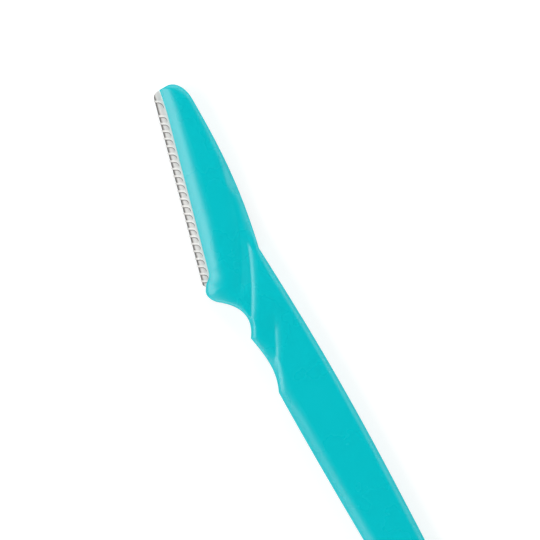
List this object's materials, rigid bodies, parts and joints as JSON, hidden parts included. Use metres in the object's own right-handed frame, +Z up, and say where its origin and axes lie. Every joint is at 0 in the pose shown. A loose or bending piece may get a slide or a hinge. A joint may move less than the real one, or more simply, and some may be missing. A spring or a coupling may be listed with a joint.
{
  "type": "eyebrow razor",
  "caption": "Slim eyebrow razor: moulded handle with slanting ridges and two finger rests, steel blade along the head and a stamped safety guard folded over its edge.",
  "frame": {"origin": "on the flat underside of the grip, on the centreline, at the middle of the razor's length", "axes": "+X from the tip of the head to the tail, +Z up out of the face it rests on, cutting edge towards -Y"},
  "size_m": [0.15, 0.0135, 0.0038],
  "materials": {
    "handle": "satin moulded plastic in turquoise",
    "blade": "stainless strip, bright flats and a fine ground bevel",
    "guard": "bright stamped stainless foil"
  },
  "bodies": {
    "root": {"handle": "handle", "blade": "blade", "guard": "guard"}
  },
  "joints": []
}
